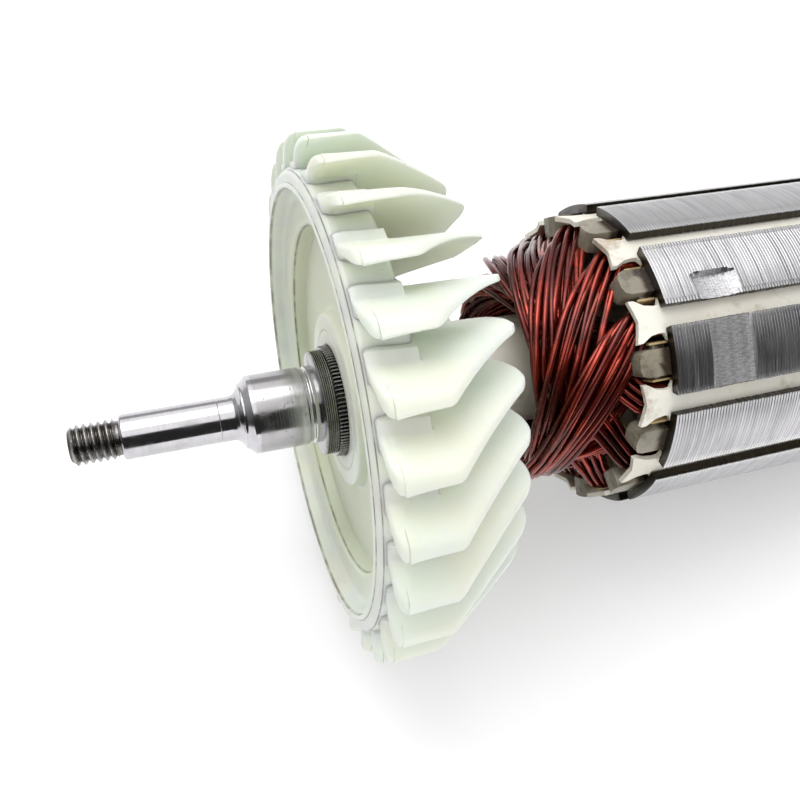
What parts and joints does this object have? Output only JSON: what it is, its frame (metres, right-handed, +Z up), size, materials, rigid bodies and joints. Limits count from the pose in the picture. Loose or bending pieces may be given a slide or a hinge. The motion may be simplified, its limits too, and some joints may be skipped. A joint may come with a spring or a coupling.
{
  "type": "motor armature",
  "caption": "Wound motor armature: laminated core with slot wedges and copper end turns, commutator, stepped shaft with threaded nose, and a cooling fan with leaning blades.",
  "frame": {"origin": "centre of the footprint box, on the ground under the armature as it lies", "axes": "+X along the plan of the shaft, from the threaded nose to the commutator end; +Z up; the shaft slopes down to the commutator end by 9.3 degrees, because the fan is wider than the core"},
  "size_m": [0.1974, 0.0798, 0.0799],
  "materials": {
    "shaft_steel": "ground and turned, light storage marks",
    "bush_steel": "turned rings and a straight knurl",
    "fan_nylon": "milky, slightly translucent, as moulded",
    "laminations": "fine lines round the core, one per lamination",
    "insulator": "grey, slightly translucent",
    "sleeve": "plain",
    "slot_paper": "tan, edges stained by varnish",
    "wedge": "cream, light marks",
    "enamelled_wire": "clear red-brown enamel and varnish",
    "commutator_resin": "moulded",
    "commutator_copper": "turned"
  },
  "bodies": {
    "root": {"shaft": "shaft_steel", "fan_bush": "bush_steel", "fan": "fan_nylon", "lamination_stack": "laminations", "end_insulator_front": "insulator", "end_insulator_rear": "insulator", "sleeve_front": "sleeve", "sleeve_rear": "sleeve", "slot_liner_01": "slot_paper", "slot_liner_02": "slot_paper", "slot_liner_03": "slot_paper", "slot_liner_04": "slot_paper", "slot_liner_05": "slot_paper", "slot_liner_06": "slot_paper", "slot_liner_07": "slot_paper", "slot_liner_08": "slot_paper", "slot_liner_09": "slot_paper", "slot_liner_10": "slot_paper", "slot_liner_11": "slot_paper", "slot_liner_12": "slot_paper", "slot_wedge_01": "wedge", "slot_wedge_02": "wedge", "slot_wedge_03": "wedge", "slot_wedge_04": "wedge", "slot_wedge_05": "wedge", "slot_wedge_06": "wedge", "slot_wedge_07": "wedge", "slot_wedge_08": "wedge", "slot_wedge_09": "wedge", "slot_wedge_10": "wedge", "slot_wedge_11": "wedge", "slot_wedge_12": "wedge", "coil_01": "enamelled_wire", "coil_02": "enamelled_wire", "coil_03": "enamelled_wire", "coil_04": "enamelled_wire", "coil_05": "enamelled_wire", "coil_06": "enamelled_wire", "coil_07": "enamelled_wire", "coil_08": "enamelled_wire", "coil_09": "enamelled_wire", "coil_10": "enamelled_wire", "coil_11": "enamelled_wire", "coil_12": "enamelled_wire", "commutator_bush": "bush_steel", "commutator_hub": "commutator_resin", "commutator_bars": "commutator_copper", "coil_leads": "enamelled_wire"}
  },
  "joints": []
}
